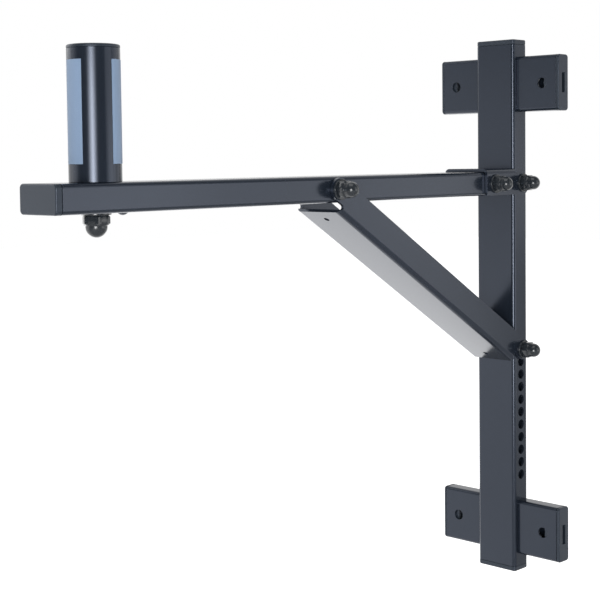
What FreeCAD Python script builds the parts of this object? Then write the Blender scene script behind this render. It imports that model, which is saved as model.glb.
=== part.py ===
import FreeCAD, Part
import math
import os
import re
import Sketcher

# Speaker wall bracket, in millimetres.
# The origin is the middle of the four wall screws, on the wall.
# X runs along the wall to the right, Y into the wall, Z up. The arm reaches out along minus Y.

SIZES = {
    # Wall rail, an upright rectangular tube
    "rail_width": 40,
    "rail_depth": 20,
    "rail_height": 470,
    "rail_wall": 2,
    "rail_corner": 3,
    "rail_cap_lip": 4.5,
    # Four feet beside the rail, flat tube that the wall screws go through
    "foot_span": 126,
    "foot_height": 48,
    "foot_depth": 15,
    "foot_wall": 1.5,
    "foot_corner": 3,
    "foot_cap_lip": 3,
    "foot_end_gap": 15,
    "cap_slot_width": 4.3,
    "cap_slot_length": 17,
    "screw_spacing_across": 92,
    "screw_hole": 9,
    "rear_hole": 14,
    # Plastic caps pushed into the tube ends
    "plug_depth": 13,
    "plug_wall": 1.8,
    "plug_clearance": 0.2,
    "cap_edge": 1.2,
    "cap_seam": 0.5,
    # Arm, the same tube lying flat
    "arm_height": 110,
    "arm_width": 40,
    "arm_thickness": 20,
    "arm_wall": 2,
    "arm_corner": 3,
    "arm_reach": 505,
    "arm_rail_gap": 7,
    "arm_cap_lip": 5,
    # Folded sheet of the arm bracket and of the brace
    "sheet": 2.5,
    "bend_inside": 2,
    "side_clearance": 0.3,
    "bracket_reach": 62,
    "bracket_tail": 9,
    "web_gap": 0.5,
    "arm_bolt_reach": 50,
    # Brace, a channel with its web underneath
    "brace_bolt_reach": 246.5,
    "lock_drop": 147,
    "ear_radius": 9,
    "web_drop": 15.5,
    "web_setback": 8,
    "web_hole": 4.5,
    "web_hole_setback": 19.5,
    "cut_past": 1,
    # Row of tilt holes in the rail
    "tilt_pitch": 11.2,
    "tilt_count": 11,
    # Cross bolts with washers and dome nuts
    "bolt_diameter": 8,
    "bolt_length": 60,
    "bolt_chamfer": 1,
    "bolt_clearance": 0.4,
    "head_across": 13,
    "head_thickness": 5.3,
    "washer_diameter": 16,
    "washer_thickness": 1.6,
    "nut_across": 13,
    "nut_hex": 6.5,
    "nut_length": 15,
    "nut_dome": 12,
    "thread_clearance": 0.1,
    "nut_roof": 2.5,
    # Pole that the speaker stands on
    "pole_setback": 46,
    "pole_diameter": 35,
    "pole_wall": 2,
    "pole_rise": 89.5,
    "pole_cap_lip": 2.2,
    "pad_count": 3,
    "pad_angle": 52,
    "first_pad_angle": -90,
    "pad_thickness": 0.2,
    "pad_top_gap": 10,
    "pad_bottom_gap": 12,
    "pole_plug_depth": 10,
    # Bolt that holds the pole on the arm
    "pole_bolt_diameter": 10,
    "pole_bolt_length": 43,
    "pole_head_across": 16,
    "pole_head_thickness": 6.4,
    "pole_washer_diameter": 20,
    "pole_washer_thickness": 1.5,
    "pole_nut_across": 17,
    "pole_nut_hex": 6.6,
    "pole_nut_length": 15,
    "pole_nut_dome": 14.5,
    # Small domed plug in the underside of the arm
    "button_setback": 22,
    "button_head": 8,
    "button_dome": 2.4,
    "button_stem": 5.6,
    "button_length": 5,
}

# Sizes that follow from the ones above, as formulas of the sheet
RAIL_TUBE = "(rail_height - 2 * rail_cap_lip)"
FOOT_TUBE = "(foot_span / 2 - rail_width / 2 - foot_cap_lip)"
SCREW_SPACING_UP = "(rail_height - foot_height - 2 * foot_end_gap)"
ARM_START = "(rail_depth + arm_rail_gap)"
ARM_TUBE = f"(arm_reach - arm_cap_lip - {ARM_START})"
ARM_TOP = "(arm_height + arm_thickness / 2)"
ARM_BOTTOM = "(arm_height - arm_thickness / 2)"
BOLT_HOLE = "(bolt_diameter + bolt_clearance)"
SIDE_INNER = "(rail_width / 2 + side_clearance)"
SIDE_OUTER = f"({SIDE_INNER} + sheet)"
BEND_OUTER = "(bend_inside + sheet)"
WEB_TOP = f"({ARM_TOP} + side_clearance + sheet)"
TAIL_TOP = f"({WEB_TOP} - {BEND_OUTER})"
BRACE_RUN = "(brace_bolt_reach - rail_depth / 2)"
BRACE_LENGTH = f"sqrt({BRACE_RUN} * {BRACE_RUN} + lock_drop * lock_drop)"
BRACE_ANGLE = f"atan(lock_drop / {BRACE_RUN})"
RELIEF = "((web_drop - sheet - ear_radius) / 2)"
POLE_REACH = "(arm_reach - pole_setback)"
POLE_TUBE = "(pole_rise - pole_cap_lip)"
POLE_BORE = "(pole_diameter - 2 * pole_wall)"

doc = FreeCAD.newDocument("SpeakerWallBracket")
sheet = doc.addObject("Spreadsheet::Sheet", "Sizes")
for row, (word, number) in enumerate(SIZES.items(), start=1):
    sheet.set(f"A{row}", word)
    sheet.set(f"B{row}", str(number))
    sheet.setAlias(f"B{row}", word)
doc.recompute()

sub_parts = []


def formula(text):
    """A formula in plain size names, written with the sheet's name before each."""
    return re.sub(r"[a-z_]+", lambda word: f"Sizes.{word[0]}" if word[0] in SIZES else word[0], str(text))


def number(text):
    """The present value of a formula."""
    return float(sheet.evalExpression(formula(text)))


def new_body(name):
    body = doc.addObject("PartDesign::Body", name)
    body.Label = name
    sub_parts.append(body)
    return body


def bind(thing, **formulas):
    """Tie properties of a feature to formulas of the sheet."""
    for path, text in formulas.items():
        thing.setExpression(path, formula(text))


def place(body, x="0", y="0", z="0", axis=None, angle="0"):
    """Put a body that was modelled round its own origin where it belongs."""
    for path, text in (("x", x), ("y", y), ("z", z)):
        body.setExpression(f"Placement.Base.{path}", formula(text))
    if axis:
        body.Placement = FreeCAD.Placement(body.Placement.Base, FreeCAD.Rotation(axis, 1))
        body.setExpression("Placement.Rotation.Angle", formula(angle))


def new_sketch(body, role, name, x="0", y="0", z="0"):
    """A sketch on one of the body's own origin planes, moved by formulas."""
    sketch = body.newObject("Sketcher::SketchObject", name)
    support = next(plane for plane in body.Origin.OriginFeatures if plane.Role == role)
    sketch.AttachmentSupport = (support, [""])
    sketch.MapMode = "FlatFace"
    for path, text in (("x", x), ("y", y), ("z", z)):
        sketch.setExpression(f"AttachmentOffset.Base.{path}", formula(text))
    return sketch


def fix_point(sketch, line, end, x, y):
    """Hold one end of a line at a place given by two formulas."""
    for kind, text in (("DistanceX", x), ("DistanceY", y)):
        index = sketch.addConstraint(Sketcher.Constraint(kind, -1, 1, line, end, number(text)))
        sketch.setExpression(f"Constraints[{index}]", formula(text))


def fix_radius(sketch, curve, radius):
    index = sketch.addConstraint(Sketcher.Constraint("Radius", curve, number(radius)))
    sketch.setExpression(f"Constraints[{index}]", formula(radius))


def arc_between(start, end, radius, turn):
    """The shorter arc from start to end; turn is 1 for counterclockwise and -1 for clockwise."""
    chord = end.sub(start)
    half = chord.Length / 2
    rise = math.sqrt(max(radius * radius - half * half, 0))
    across = FreeCAD.Vector(-chord.y, chord.x, 0).normalize() * rise * turn
    centre = start.add(chord * 0.5).add(across)
    first = math.atan2(start.y - centre.y, start.x - centre.x)
    last = math.atan2(end.y - centre.y, end.x - centre.x)
    if turn < 0:
        first, last = last, first
    circle = Part.Circle(centre, FreeCAD.Vector(0, 0, 1), radius)
    return Part.ArcOfCircle(circle, first, last)


def outline(sketch, points, arcs=None):
    """A closed outline through points given as pairs of formulas.

    arcs gives the runs that are round: the number of the run's first point, its radius, its turn.
    """
    arcs = arcs or {}
    spots = [FreeCAD.Vector(number(x), number(y), 0) for x, y in points]
    ends = []
    for index, spot in enumerate(spots):
        after = spots[(index + 1) % len(spots)]
        if index in arcs:
            radius, turn = arcs[index]
            curve = sketch.addGeometry(arc_between(spot, after, number(radius), turn), False)
            fix_radius(sketch, curve, radius)
            ends.append((curve, 1, 2) if turn > 0 else (curve, 2, 1))
        else:
            curve = sketch.addGeometry(Part.LineSegment(spot, after), False)
            ends.append((curve, 1, 2))
    for index, (x, y) in enumerate(points):
        curve, first, last = ends[index]
        before, unused, before_last = ends[index - 1]
        sketch.addConstraint(Sketcher.Constraint("Coincident", before, before_last, curve, first))
        fix_point(sketch, curve, first, x, y)


def rounded_rectangle(sketch, width, height, corner):
    """A rectangle about the sketch's origin with round corners."""
    right = f"({width}) / 2"
    top = f"({height}) / 2"
    points = [
        (f"-({right} - ({corner}))", f"-({top})"), (f"{right} - ({corner})", f"-({top})"),
        (right, f"-({top} - ({corner}))"), (right, f"{top} - ({corner})"),
        (f"{right} - ({corner})", top), (f"-({right} - ({corner}))", top),
        (f"-({right})", f"{top} - ({corner})"), (f"-({right})", f"-({top} - ({corner}))"),
    ]
    outline(sketch, points, {index: (corner, 1) for index in (1, 3, 5, 7)})


def rectangle(sketch, width, height):
    right = f"({width}) / 2"
    top = f"({height}) / 2"
    outline(sketch, [(f"-({right})", f"-({top})"), (right, f"-({top})"), (right, top), (f"-({right})", top)])


def circle(sketch, diameter, x="0", y="0"):
    spot = FreeCAD.Vector(number(x), number(y), 0)
    curve = sketch.addGeometry(Part.Circle(spot, FreeCAD.Vector(0, 0, 1), number(diameter) / 2), False)
    fix_point(sketch, curve, 3, x, y)
    index = sketch.addConstraint(Sketcher.Constraint("Diameter", curve, number(diameter)))
    sketch.setExpression(f"Constraints[{index}]", formula(diameter))


def hexagon(sketch, across):
    corner = f"({across}) / sqrt(3)"
    points = [(f"{corner} * cos({60 * step})", f"{corner} * sin({60 * step})") for step in range(6)]
    outline(sketch, points)


def pad(body, sketch, length, middle=False, reverse=False):
    feature = body.newObject("PartDesign::Pad", f"{sketch.Name}Pad")
    feature.Profile = sketch
    feature.SideType = "Symmetric" if middle else "One side"
    feature.Reversed = reverse
    bind(feature, Length=length)
    return feature


def pocket(body, sketch, length=None, middle=False, reverse=False):
    """Cut a sketch into the body, right through it where no length is given."""
    feature = body.newObject("PartDesign::Pocket", f"{sketch.Name}Pocket")
    feature.Profile = sketch
    feature.SideType = "Symmetric" if middle else "One side"
    feature.Reversed = reverse
    if length is None:
        feature.Type = "ThroughAll"
    else:
        bind(feature, Length=length)
    return feature


def turned(body, sketch, kind):
    """Revolve a sketch about its own upright axis, to add (Revolution) or to cut (Groove)."""
    feature = body.newObject(f"PartDesign::{kind}", f"{sketch.Name}{kind}")
    feature.Profile = sketch
    feature.ReferenceAxis = (sketch, ["V_Axis"])
    feature.Angle = 360
    return feature


def rectangular_tube(body, role, name, width, height, corner, wall, length, **at):
    """A length of rectangular tube, padded both ways from a sketch at its middle."""
    sketch = new_sketch(body, role, name, **at)
    rounded_rectangle(sketch, width, height, corner)
    rounded_rectangle(sketch, f"{width} - 2 * {wall}", f"{height} - 2 * {wall}", f"{corner} - {wall}")
    return pad(body, sketch, length, middle=True)


def cross_hole(body, name, diameter, y, z):
    """A round hole along X through both side walls."""
    sketch = new_sketch(body, "YZ_Plane", name)
    circle(sketch, diameter, y, z)
    return pocket(body, sketch, middle=True)


def tube_cap(name, width, height, corner, wall, lip):
    """A plastic cap: a lip with the tube's own outline, and a hollow plug that goes into the tube.

    It is modelled with its lip above the plane of the tube's end.
    """
    body = new_body(name)
    seam = new_sketch(body, "XY_Plane", "Seam")
    rounded_rectangle(seam, f"{width} - 2 * cap_seam", f"{height} - 2 * cap_seam", f"{corner} - cap_seam")
    pad(body, seam, "cap_seam")
    head = new_sketch(body, "XY_Plane", "Lip", z="cap_seam")
    rounded_rectangle(head, width, height, corner)
    lip_pad = pad(body, head, f"{lip} - cap_seam")
    doc.recompute()
    rim = body.newObject("PartDesign::Fillet", "RoundRim")
    top = max(range(len(lip_pad.Shape.Faces)), key=lambda index: lip_pad.Shape.Faces[index].CenterOfMass.z)
    rim.Base = (lip_pad, [f"Face{top + 1}"])
    bind(rim, Radius="cap_edge")
    plug = new_sketch(body, "XY_Plane", "Plug")
    inset = f"2 * ({wall} + plug_clearance)"
    rounded_rectangle(plug, f"{width} - {inset}", f"{height} - {inset}", f"{corner} - {wall} - plug_clearance")
    rectangle(plug, f"{width} - {inset} - 2 * plug_wall", f"{height} - {inset} - 2 * plug_wall")
    pad(body, plug, "plug_depth", reverse=True)
    return body


def channel(sketch, web, edge, up):
    """The section of a folded channel: a web with two flanges that go up (1) or down (-1) from it."""
    bend = f"{up} * {BEND_OUTER}"
    inside = f"{web} + {up} * sheet"
    flat = f"({SIDE_OUTER} - {BEND_OUTER})"
    points = [
        (f"-{SIDE_OUTER}", edge), (f"-{SIDE_OUTER}", f"{web} + {bend}"), (f"-{flat}", web),
        (flat, web), (SIDE_OUTER, f"{web} + {bend}"), (SIDE_OUTER, edge), (SIDE_INNER, edge),
        (SIDE_INNER, f"{web} + {bend}"), (flat, inside), (f"-{flat}", inside),
        (f"-{SIDE_INNER}", f"{web} + {bend}"), (f"-{SIDE_INNER}", edge),
    ]
    arcs = {1: (BEND_OUTER, up), 3: (BEND_OUTER, up), 7: ("bend_inside", -up), 9: ("bend_inside", -up)}
    outline(sketch, points, arcs)


# Wall rail: an upright tube with a row of holes for the lock bolt down both sides

rail = new_body("wall_rail")
rectangular_tube(rail, "XY_Plane", "RailSection", "rail_width", "rail_depth", "rail_corner", "rail_wall",
                 RAIL_TUBE, y="-rail_depth / 2")
cross_hole(rail, "BracketBoltHole", BOLT_HOLE, "-rail_depth / 2", "arm_height")
lock_hole = cross_hole(rail, "LockHole", BOLT_HOLE, "-rail_depth / 2", "arm_height - lock_drop")
hole_row = rail.newObject("PartDesign::LinearPattern", "TiltHoleRow")
hole_row.Originals = [lock_hole]
hole_row.Direction = (lock_hole.Profile[0], ["V_Axis"])
hole_row.Reversed = True
hole_row.Mode = "Spacing"
bind(hole_row, Offset="tilt_pitch", Occurrences="tilt_count")
rail.Tip = hole_row

RAIL_CAP = ("rail_width", "rail_depth", "rail_corner", "rail_wall", "rail_cap_lip")
place(tube_cap("rail_cap_top", *RAIL_CAP), y="-rail_depth / 2", z=f"{RAIL_TUBE} / 2")
place(tube_cap("rail_cap_bottom", *RAIL_CAP), y="-rail_depth / 2", z=f"-{RAIL_TUBE} / 2",
      axis=FreeCAD.Vector(1, 0, 0), angle="180")

# Feet: short flat tubes welded to the rail's sides, each with one wall screw hole

for level, height in (("upper", 1), ("lower", -1)):
    for hand, side in (("left", -1), ("right", 1)):
        screw_x = f"{side} * screw_spacing_across / 2"
        screw_z = f"{height} * {SCREW_SPACING_UP} / 2"
        foot = new_body(f"foot_{level}_{hand}")
        rectangular_tube(foot, "YZ_Plane", "FootSection", "foot_depth", "foot_height", "foot_corner",
                         "foot_wall", FOOT_TUBE, x="-foot_depth / 2", y=screw_z,
                         z=f"{side} * (rail_width + {FOOT_TUBE}) / 2")
        front = new_sketch(foot, "XZ_Plane", "ScrewHole", z="foot_depth")
        circle(front, "screw_hole", screw_x, screw_z)
        pocket(foot, front, "foot_depth / 2")
        rear = new_sketch(foot, "XZ_Plane", "RearHole")
        circle(rear, "rear_hole", screw_x, screw_z)
        pocket(foot, rear, "foot_depth / 2", reverse=True)

        cap = tube_cap(f"foot_cap_{level}_{hand}", "foot_height", "foot_depth", "foot_corner",
                       "foot_wall", "foot_cap_lip")
        slot = new_sketch(cap, "XY_Plane", "Slot", z="foot_cap_lip + cut_past")
        rectangle(slot, "cap_slot_length", "cap_slot_width")
        pocket(cap, slot, "foot_cap_lip + 2 * cut_past")
        place(cap, x=f"{side} * (rail_width / 2 + {FOOT_TUBE})", y="-foot_depth / 2", z=screw_z,
              axis=FreeCAD.Vector(0, 1, 0), angle=f"{side} * 90")

# Arm bracket: one folded sheet, an upside-down channel over the arm whose flanges run on past the rail

bracket = new_body("arm_bracket")
section = new_sketch(bracket, "XZ_Plane", "Section", z="bracket_reach")
channel(section, WEB_TOP, ARM_BOTTOM, -1)
pad(bracket, section, "bracket_reach - rail_depth / 2 + bracket_tail", reverse=True)
tail_cut = new_sketch(bracket, "YZ_Plane", "TailCut")
TAIL_END = "(bracket_tail - rail_depth / 2)"
WEB_END = "-(rail_depth + web_gap)"
outline(tail_cut, [
    (WEB_END, f"{WEB_TOP} + cut_past"), (WEB_END, TAIL_TOP), ("-rail_depth / 2", TAIL_TOP),
    (TAIL_END, f"{TAIL_TOP} - bracket_tail"), (TAIL_END, f"{ARM_BOTTOM} + bracket_tail"),
    ("-rail_depth / 2", ARM_BOTTOM), ("-rail_depth / 2", f"{ARM_BOTTOM} - cut_past"),
    (f"{TAIL_END} + cut_past", f"{ARM_BOTTOM} - cut_past"), (f"{TAIL_END} + cut_past", f"{WEB_TOP} + cut_past"),
], {2: ("bracket_tail", -1), 4: ("bracket_tail", -1)})
pocket(bracket, tail_cut, middle=True)
cross_hole(bracket, "RailBoltHole", BOLT_HOLE, "-rail_depth / 2", "arm_height")
cross_hole(bracket, "ArmBoltHole", BOLT_HOLE, "-arm_bolt_reach", "arm_height")

# Arm: a flat-lying tube with holes for its two cross bolts, the pole bolt and the small plug

arm = new_body("arm_tube")
rectangular_tube(arm, "XZ_Plane", "ArmSection", "arm_width", "arm_thickness", "arm_corner", "arm_wall",
                 ARM_TUBE, y="arm_height", z=f"{ARM_START} + {ARM_TUBE} / 2")
cross_hole(arm, "BracketBoltHole", BOLT_HOLE, "-arm_bolt_reach", "arm_height")
cross_hole(arm, "BraceBoltHole", BOLT_HOLE, "-brace_bolt_reach", "arm_height")
pole_hole = new_sketch(arm, "XY_Plane", "PoleBoltHole")
circle(pole_hole, "pole_bolt_diameter + bolt_clearance", y=f"-{POLE_REACH}")
pocket(arm, pole_hole, middle=True)
button_hole = new_sketch(arm, "XY_Plane", "PlugHole", z=f"{ARM_BOTTOM} + arm_wall")
circle(button_hole, "button_stem + 2 * plug_clearance", y=f"button_setback - {POLE_REACH}")
pocket(arm, button_hole, "arm_wall + cut_past")

place(tube_cap("arm_end_cap", "arm_width", "arm_thickness", "arm_corner", "arm_wall", "arm_cap_lip"),
      y="arm_cap_lip - arm_reach", z="arm_height", axis=FreeCAD.Vector(1, 0, 0), angle="90")

# Brace: a folded channel with rounded ears past its web at both ends.
# It is modelled along Y from its upper bolt and then tipped into place.

brace = new_body("brace")
section = new_sketch(brace, "XZ_Plane", "Section", z=f"-{BRACE_LENGTH} / 2")
channel(section, "-web_drop", "ear_radius", 1)
pad(brace, section, f"{BRACE_LENGTH} + 2 * ear_radius", middle=True)
for end, start, way in (("Upper", "0", 1), ("Lower", BRACE_LENGTH, -1)):
    def along(text):
        return f"{start} + {way} * ({text})"

    ear_cut = new_sketch(brace, "YZ_Plane", f"{end}EarCut")
    outline(ear_cut, [
        (along("0"), "ear_radius"), (along("-ear_radius"), "0"), (along("0"), "-ear_radius"),
        (along("web_setback"), "-ear_radius"), (along(f"web_setback + {RELIEF}"), f"-ear_radius - {RELIEF}"),
        (along("web_setback"), f"-ear_radius - 2 * {RELIEF}"), (along("web_setback"), "-web_drop - cut_past"),
        (along("-ear_radius - cut_past"), "-web_drop - cut_past"),
        (along("-ear_radius - cut_past"), "ear_radius + cut_past"), (along("0"), "ear_radius + cut_past"),
    ], {0: ("ear_radius", way), 1: ("ear_radius", way), 3: (RELIEF, -way), 4: (RELIEF, -way)})
    pocket(brace, ear_cut, middle=True)
    cross_hole(brace, f"{end}BoltHole", BOLT_HOLE, along("0"), "0")
    drain = new_sketch(brace, "XY_Plane", f"{end}WebHole")
    circle(drain, "web_hole", y=along("web_hole_setback"))
    pocket(brace, drain, middle=True)
place(brace, y="-brace_bolt_reach", z="arm_height", axis=FreeCAD.Vector(1, 0, 0), angle=f"-{BRACE_ANGLE}")

# Bolts, washers and dome nuts


def hex_bolt(name, diameter, length, across, thickness):
    """A hex head below the plane z = 0 and a shank above it."""
    body = new_body(name)
    head = new_sketch(body, "XY_Plane", "Head")
    hexagon(head, across)
    pad(body, head, thickness, reverse=True)
    bevel = new_sketch(body, "XZ_Plane", "HeadBevel")
    outline(bevel, [(f"{across} / 2", f"-({thickness})"), (across, f"-({thickness})"),
                    (across, f"{across} / 2 * tan(30) - {thickness}")])
    turned(body, bevel, "Groove")
    shank = new_sketch(body, "XZ_Plane", "Shank")
    outline(shank, [("0", "0"), (f"{diameter} / 2", "0"), (f"{diameter} / 2", f"{length} - bolt_chamfer"),
                    (f"{diameter} / 2 - bolt_chamfer", length), ("0", length)])
    turned(body, shank, "Revolution")
    return body


def flat_washer(name, diameter, thickness, bolt):
    body = new_body(name)
    ring = new_sketch(body, "XY_Plane", "Ring")
    circle(ring, diameter)
    circle(ring, f"{bolt} + bolt_clearance")
    pad(body, ring, thickness)
    return body


def dome_nut(name, bolt, across, hex_part, length, dome):
    """A closed nut that bears on the plane z = 0, with its dome above."""
    body = new_body(name)
    hexagonal = new_sketch(body, "XY_Plane", "Hexagon")
    hexagon(hexagonal, across)
    pad(body, hexagonal, hex_part)
    bevel = new_sketch(body, "XZ_Plane", "HexagonBevel")
    outline(bevel, [(f"{across} / 2", hex_part), (across, f"{hex_part} - {across} / 2 * tan(30)"),
                    (across, hex_part)])
    turned(body, bevel, "Groove")
    round_end = new_sketch(body, "XZ_Plane", "Dome")
    outline(round_end, [("0", hex_part), (f"{dome} / 2", hex_part), (f"{dome} / 2", f"{length} - {dome} / 2"),
                        ("0", length)], {2: (f"{dome} / 2", 1)})
    turned(body, round_end, "Revolution")
    bore = new_sketch(body, "XY_Plane", "Bore")
    circle(bore, f"{bolt} + 2 * thread_clearance")
    pocket(body, bore, f"{length} - nut_roof", reverse=True)
    return body


CROSS_BOLTS = {
    "rail_bolt": ("rail_depth / 2", "arm_height"),
    "arm_bolt": ("arm_bolt_reach", "arm_height"),
    "brace_bolt": ("brace_bolt_reach", "arm_height"),
    "lock_bolt": ("rail_depth / 2", "arm_height - lock_drop"),
}
for name, (reach, height) in CROSS_BOLTS.items():
    at = {"y": f"-({reach})", "z": height, "axis": FreeCAD.Vector(0, 1, 0), "angle": "90"}
    place(hex_bolt(name, "bolt_diameter", "bolt_length", "head_across", "head_thickness"),
          x=f"-({SIDE_OUTER} + washer_thickness)", **at)
    place(flat_washer(f"{name}_washer_left", "washer_diameter", "washer_thickness", "bolt_diameter"),
          x=f"-({SIDE_OUTER} + washer_thickness)", **at)
    place(flat_washer(f"{name}_washer_right", "washer_diameter", "washer_thickness", "bolt_diameter"),
          x=SIDE_OUTER, **at)
    place(dome_nut(f"{name}_nut", "bolt_diameter", "nut_across", "nut_hex", "nut_length", "nut_dome"),
          x=f"{SIDE_OUTER} + washer_thickness", **at)

# Pole: an upright tube with a steel plug in its foot, a cap on top and three pads stuck round it

pole = new_body("pole_tube")
ring = new_sketch(pole, "XY_Plane", "Ring", y=f"-{POLE_REACH}", z=ARM_TOP)
circle(ring, "pole_diameter")
circle(ring, POLE_BORE)
pad(pole, ring, POLE_TUBE)

plug = new_body("pole_plug")
disc = new_sketch(plug, "XY_Plane", "Disc", y=f"-{POLE_REACH}", z=ARM_TOP)
circle(disc, f"{POLE_BORE} - 2 * plug_clearance")
circle(disc, "pole_bolt_diameter + bolt_clearance")
pad(plug, disc, "pole_plug_depth")

cap = new_body("pole_cap")
PLUG_RADIUS = f"({POLE_BORE} / 2 - plug_clearance)"
profile = new_sketch(cap, "XZ_Plane", "Profile")
outline(profile, [
    ("0", "pole_cap_lip"), ("0", "0"), (f"{PLUG_RADIUS} - plug_wall", "0"),
    (f"{PLUG_RADIUS} - plug_wall", "-plug_depth"), (PLUG_RADIUS, "-plug_depth"), (PLUG_RADIUS, "0"),
    ("pole_diameter / 2", "0"), ("pole_diameter / 2", "pole_cap_lip - cap_edge"),
    ("pole_diameter / 2 - cap_edge", "pole_cap_lip"),
], {7: ("cap_edge", 1)})
turned(cap, profile, "Revolution")
place(cap, y=f"-{POLE_REACH}", z=f"{ARM_TOP} + {POLE_TUBE}")

for step, name in enumerate(("pole_pad_front", "pole_pad_right", "pole_pad_left")):
    strip = new_body(name)
    inner = "(pole_diameter / 2)"
    outer = f"({inner} + pad_thickness)"
    section = new_sketch(strip, "XY_Plane", "Section")
    outline(section, [
        (f"{inner} * cos(pad_angle / 2)", f"-({inner} * sin(pad_angle / 2))"),
        (f"{outer} * cos(pad_angle / 2)", f"-({outer} * sin(pad_angle / 2))"),
        (f"{outer} * cos(pad_angle / 2)", f"{outer} * sin(pad_angle / 2)"),
        (f"{inner} * cos(pad_angle / 2)", f"{inner} * sin(pad_angle / 2)"),
    ], {1: (outer, 1), 3: (inner, -1)})
    pad(strip, section, "pole_rise - pad_top_gap - pad_bottom_gap")
    place(strip, y=f"-{POLE_REACH}", z=f"{ARM_TOP} + pad_bottom_gap", axis=FreeCAD.Vector(0, 0, 1),
          angle=f"first_pad_angle + {step} * 360 / pad_count")

place(hex_bolt("pole_bolt", "pole_bolt_diameter", "pole_bolt_length", "pole_head_across",
               "pole_head_thickness"),
      y=f"-{POLE_REACH}", z=f"{ARM_TOP} + pole_plug_depth", axis=FreeCAD.Vector(1, 0, 0), angle="180")
place(flat_washer("pole_washer", "pole_washer_diameter", "pole_washer_thickness", "pole_bolt_diameter"),
      y=f"-{POLE_REACH}", z=ARM_BOTTOM, axis=FreeCAD.Vector(1, 0, 0), angle="180")
place(dome_nut("pole_nut", "pole_bolt_diameter", "pole_nut_across", "pole_nut_hex", "pole_nut_length",
               "pole_nut_dome"),
      y=f"-{POLE_REACH}", z=f"{ARM_BOTTOM} - pole_washer_thickness", axis=FreeCAD.Vector(1, 0, 0), angle="180")

# Small domed plug pressed into the underside of the arm

button = new_body("arm_button")
profile = new_sketch(button, "XZ_Plane", "Profile")
DOME_RADIUS = "((button_head * button_head / 4 + button_dome * button_dome) / (2 * button_dome))"
outline(profile, [
    ("0", "button_dome"), ("0", "-button_length"), ("button_stem / 2", "-button_length"),
    ("button_stem / 2", "0"), ("button_head / 2", "0"),
], {4: (DOME_RADIUS, 1)})
turned(button, profile, "Revolution")
place(button, y=f"button_setback - {POLE_REACH}", z=ARM_BOTTOM, axis=FreeCAD.Vector(1, 0, 0), angle="180")

# Check every object and write one file for each sub-part

doc.recompute()
for thing in doc.Objects:
    if "Invalid" in thing.State or "Error" in thing.State:
        raise RuntimeError(f"{thing.Label} failed: {thing.State}")
os.makedirs("parts", exist_ok=True)
for body in sub_parts:
    shape = body.Shape
    if shape.isNull() or not shape.isValid() or len(shape.Solids) != 1:
        raise RuntimeError(f"{body.Label} is not one sound solid")
    shape.exportStep(f"parts/{body.Label}.step")
print(f"{len(sub_parts)} sub-parts written")
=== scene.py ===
import math

import bmesh
import bpy
from mathutils import Matrix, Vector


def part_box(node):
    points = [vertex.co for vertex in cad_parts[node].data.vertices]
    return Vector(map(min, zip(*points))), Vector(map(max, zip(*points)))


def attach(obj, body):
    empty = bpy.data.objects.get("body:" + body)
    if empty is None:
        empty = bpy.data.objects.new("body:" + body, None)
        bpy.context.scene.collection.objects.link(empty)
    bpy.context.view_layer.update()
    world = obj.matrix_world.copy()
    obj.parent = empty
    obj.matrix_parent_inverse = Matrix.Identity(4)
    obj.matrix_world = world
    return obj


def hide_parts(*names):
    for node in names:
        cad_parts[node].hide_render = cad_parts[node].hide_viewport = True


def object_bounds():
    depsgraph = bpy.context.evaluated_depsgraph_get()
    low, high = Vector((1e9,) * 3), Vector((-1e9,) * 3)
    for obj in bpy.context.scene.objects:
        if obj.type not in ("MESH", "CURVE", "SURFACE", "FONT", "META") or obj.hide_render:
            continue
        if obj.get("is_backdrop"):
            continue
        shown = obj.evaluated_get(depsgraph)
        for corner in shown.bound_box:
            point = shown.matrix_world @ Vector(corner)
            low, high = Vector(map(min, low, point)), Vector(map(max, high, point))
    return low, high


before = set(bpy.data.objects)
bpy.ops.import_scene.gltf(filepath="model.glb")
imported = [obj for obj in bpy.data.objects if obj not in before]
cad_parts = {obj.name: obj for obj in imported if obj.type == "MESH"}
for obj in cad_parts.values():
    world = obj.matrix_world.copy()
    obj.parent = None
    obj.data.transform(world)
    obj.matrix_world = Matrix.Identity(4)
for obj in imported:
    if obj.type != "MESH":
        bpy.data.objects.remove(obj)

# Speaker wall bracket: a wall rail, a braced arm and an upright pole for a loudspeaker.
# The sections follow the object as it is put together.
# Lengths are metres, most of them written as millimetres times MM.

cad_low, cad_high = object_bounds()

# Wall rail
# An upright length of 40 by 20 mm welded steel tube, which carries everything else on the wall.
# Cut, drilled with a row of holes down both sides, then powder coated with the feet already welded on.

MM = 0.001


def linear(colour):
    """A colour written as sRGB hex, as the linear numbers that a shader takes."""
    parts = [int(colour[start:start + 2], 16) / 255 for start in (1, 3, 5)]
    return [part / 12.92 if part <= 0.04045 else ((part + 0.055) / 1.055) ** 2.4 for part in parts] + [1.0]


def add(tree, kind, links=None, **settings):
    """One node with its settings, and with a value or another node's output in its sockets."""
    made = tree.nodes.new(kind)
    for word, value in settings.items():
        setattr(made, word, value)
    for socket, value in (links or {}).items():
        if isinstance(value, bpy.types.NodeSocket):
            tree.links.new(value, made.inputs[socket])
        else:
            made.inputs[socket].default_value = value
    return made


def new_finish(name):
    """An empty node material, with the object's own coordinates to draw its patterns on."""
    material = bpy.data.materials.new(name)
    material.use_nodes = True
    tree = material.node_tree
    tree.nodes.clear()
    return material, tree, add(tree, "ShaderNodeTexCoord").outputs["Object"]


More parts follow.
